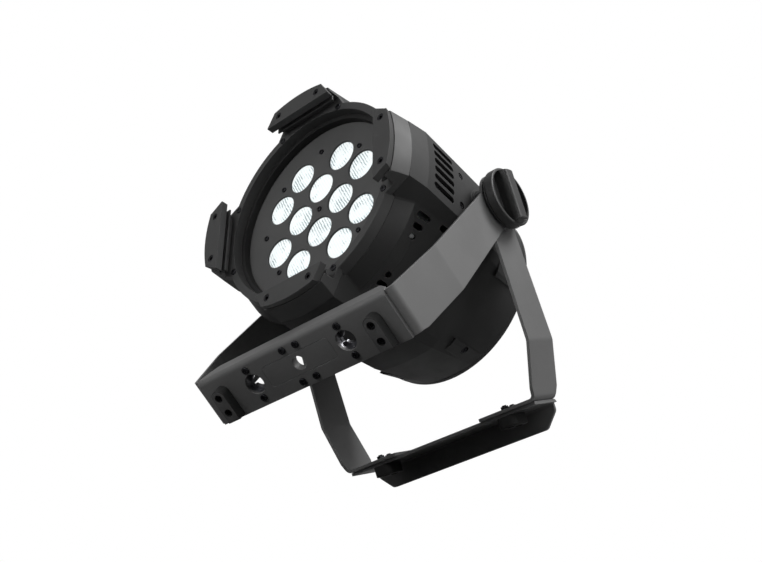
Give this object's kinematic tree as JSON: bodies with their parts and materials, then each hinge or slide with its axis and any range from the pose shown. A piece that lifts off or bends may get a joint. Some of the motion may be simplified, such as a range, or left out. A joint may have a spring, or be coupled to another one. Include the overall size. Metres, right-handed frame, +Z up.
{
  "type": "par can light",
  "caption": "Short LED stage flood in a faceted black can with a ring of lenses, standing on a pair of steel brackets that swing about two side knobs.",
  "frame": {"origin": "on the floor, under the middle of the outline box", "axes": "+Z up, +X along the tilt axis to the right-hand knob as seen from in front, light leaves along -Y and 2.6 degrees up"},
  "size_m": [0.3004, 0.2603, 0.3126],
  "materials": {
    "can_paint": "matt black powder coat",
    "bezel_paint": "matt",
    "plate_paint": "satin",
    "bracket_paint": "satin",
    "black_screws": "black oxide",
    "pad_rubber": "matt",
    "zinc_steel": "satin",
    "black_plastic": "matt",
    "knob_plastic": "satin",
    "button_plastic": "matt",
    "lens_clear": "lit, ribbed front",
    "board_white": "matt",
    "led_glow": "lit",
    "aluminium": "satin",
    "board_green": "satin",
    "display_glass": "gloss",
    "power_in_blue": "satin",
    "power_out_grey": "satin",
    "brass": "machined"
  },
  "bodies": {
    "front_bracket": {"front_arm_left": "bracket_paint", "front_arm_right": "bracket_paint", "front_plate": "bracket_paint", "spigot_block": "bracket_paint", "front_plate_screws": "black_screws", "front_pad_bolts": "black_screws", "friction_discs": "black_plastic", "latch_receptacle_left": "zinc_steel", "latch_receptacle_right": "zinc_steel", "front_pad_left": "pad_rubber", "front_pad_right": "pad_rubber"},
    "rear_bracket": {"rear_arm_left": "bracket_paint", "rear_arm_right": "bracket_paint", "rear_plate": "bracket_paint", "rear_pad_left": "pad_rubber", "rear_pad_right": "pad_rubber", "rear_pad_bolts": "black_screws"},
    "can": {"can_body": "can_paint", "side_screws": "black_screws", "tab_screws": "black_screws", "front_bezel": "bezel_paint", "bezel_screws": "black_screws", "holder_plate_right": "bezel_paint", "holder_plate_top": "bezel_paint", "holder_plate_left": "bezel_paint", "holder_plate_bottom": "bezel_paint", "holder_screws": "black_screws", "lens_plate": "plate_paint", "lens_plate_screws": "black_screws", "standoffs": "zinc_steel", "lenses": "lens_clear", "led_board": "board_white", "led_chips": "led_glow", "heat_sink": "aluminium", "power_supply": "board_green", "control_board": "board_green", "rear_cover": "can_paint", "display_window": "display_glass", "data_inlet": "black_plastic", "data_outlet": "black_plastic", "power_inlet": "power_in_blue", "power_outlet": "power_out_grey", "socket_screws": "black_screws", "fuse_holder": "black_plastic", "safety_eye": "zinc_steel", "safety_eye_nut": "zinc_steel", "side_straps": "zinc_steel", "pivot_insert_left": "brass", "pivot_insert_right": "brass"},
    "clamp_left": {"thrust_washer_left": "black_plastic"},
    "clamp_right": {"thrust_washer_right": "black_plastic"},
    "knob_left": {"knob_left": "knob_plastic", "knob_stud_left": "zinc_steel"},
    "knob_right": {"knob_right": "knob_plastic", "knob_stud_right": "zinc_steel"},
    "menu_button_1": {"menu_button_1": "button_plastic"},
    "menu_button_2": {"menu_button_2": "button_plastic"},
    "menu_button_3": {"menu_button_3": "button_plastic"},
    "menu_button_4": {"menu_button_4": "button_plastic"}
  },
  "joints": [
    {"name": "can_tilt", "type": "hinge", "parent": "front_bracket", "child": "can", "pos_m": [0, 0.01256, 0.18692], "axis": [1, 0, 0], "range_deg": [-100, 100]},
    {"name": "rear_bracket_swing", "type": "hinge", "parent": "front_bracket", "child": "rear_bracket", "pos_m": [0, 0.01256, 0.18692], "axis": [1, 0, 0], "range_deg": [-58, 60]},
    {"name": "clamp_right_travel", "type": "slide", "parent": "front_bracket", "child": "clamp_right", "axis": [1, 0, 0], "range_m": [0, 0.00076]},
    {"name": "knob_right_turn", "type": "hinge", "parent": "clamp_right", "child": "knob_right", "pos_m": [0, 0.01256, 0.18692], "axis": [1, 0, 0], "range_deg": [0, 180]},
    {"name": "clamp_left_travel", "type": "slide", "parent": "front_bracket", "child": "clamp_left", "axis": [-1, 0, 0], "range_m": [0, 0.00076]},
    {"name": "knob_left_turn", "type": "hinge", "parent": "clamp_left", "child": "knob_left", "pos_m": [0, 0.01256, 0.18692], "axis": [-1, 0, 0], "range_deg": [0, 180]},
    {"name": "menu_button_1_press", "type": "slide", "parent": "can", "child": "menu_button_1", "axis": [0, -0.9989, 0.0462], "range_m": [0, 0.0012], "stiffness_N_per_m": 600, "springref_m": -0.001},
    {"name": "menu_button_2_press", "type": "slide", "parent": "can", "child": "menu_button_2", "axis": [0, -0.9989, 0.0462], "range_m": [0, 0.0012], "stiffness_N_per_m": 600, "springref_m": -0.001},
    {"name": "menu_button_3_press", "type": "slide", "parent": "can", "child": "menu_button_3", "axis": [0, -0.9989, 0.0462], "range_m": [0, 0.0012], "stiffness_N_per_m": 600, "springref_m": -0.001},
    {"name": "menu_button_4_press", "type": "slide", "parent": "can", "child": "menu_button_4", "axis": [0, -0.9989, 0.0462], "range_m": [0, 0.0012], "stiffness_N_per_m": 600, "springref_m": -0.001}
  ],
  "couplings": [
    {"joint": "clamp_right_travel", "follows": "knob_right_turn", "m_per_rad": 0.00023873},
    {"joint": "clamp_left_travel", "follows": "knob_left_turn", "m_per_rad": 0.00023873}
  ]
}
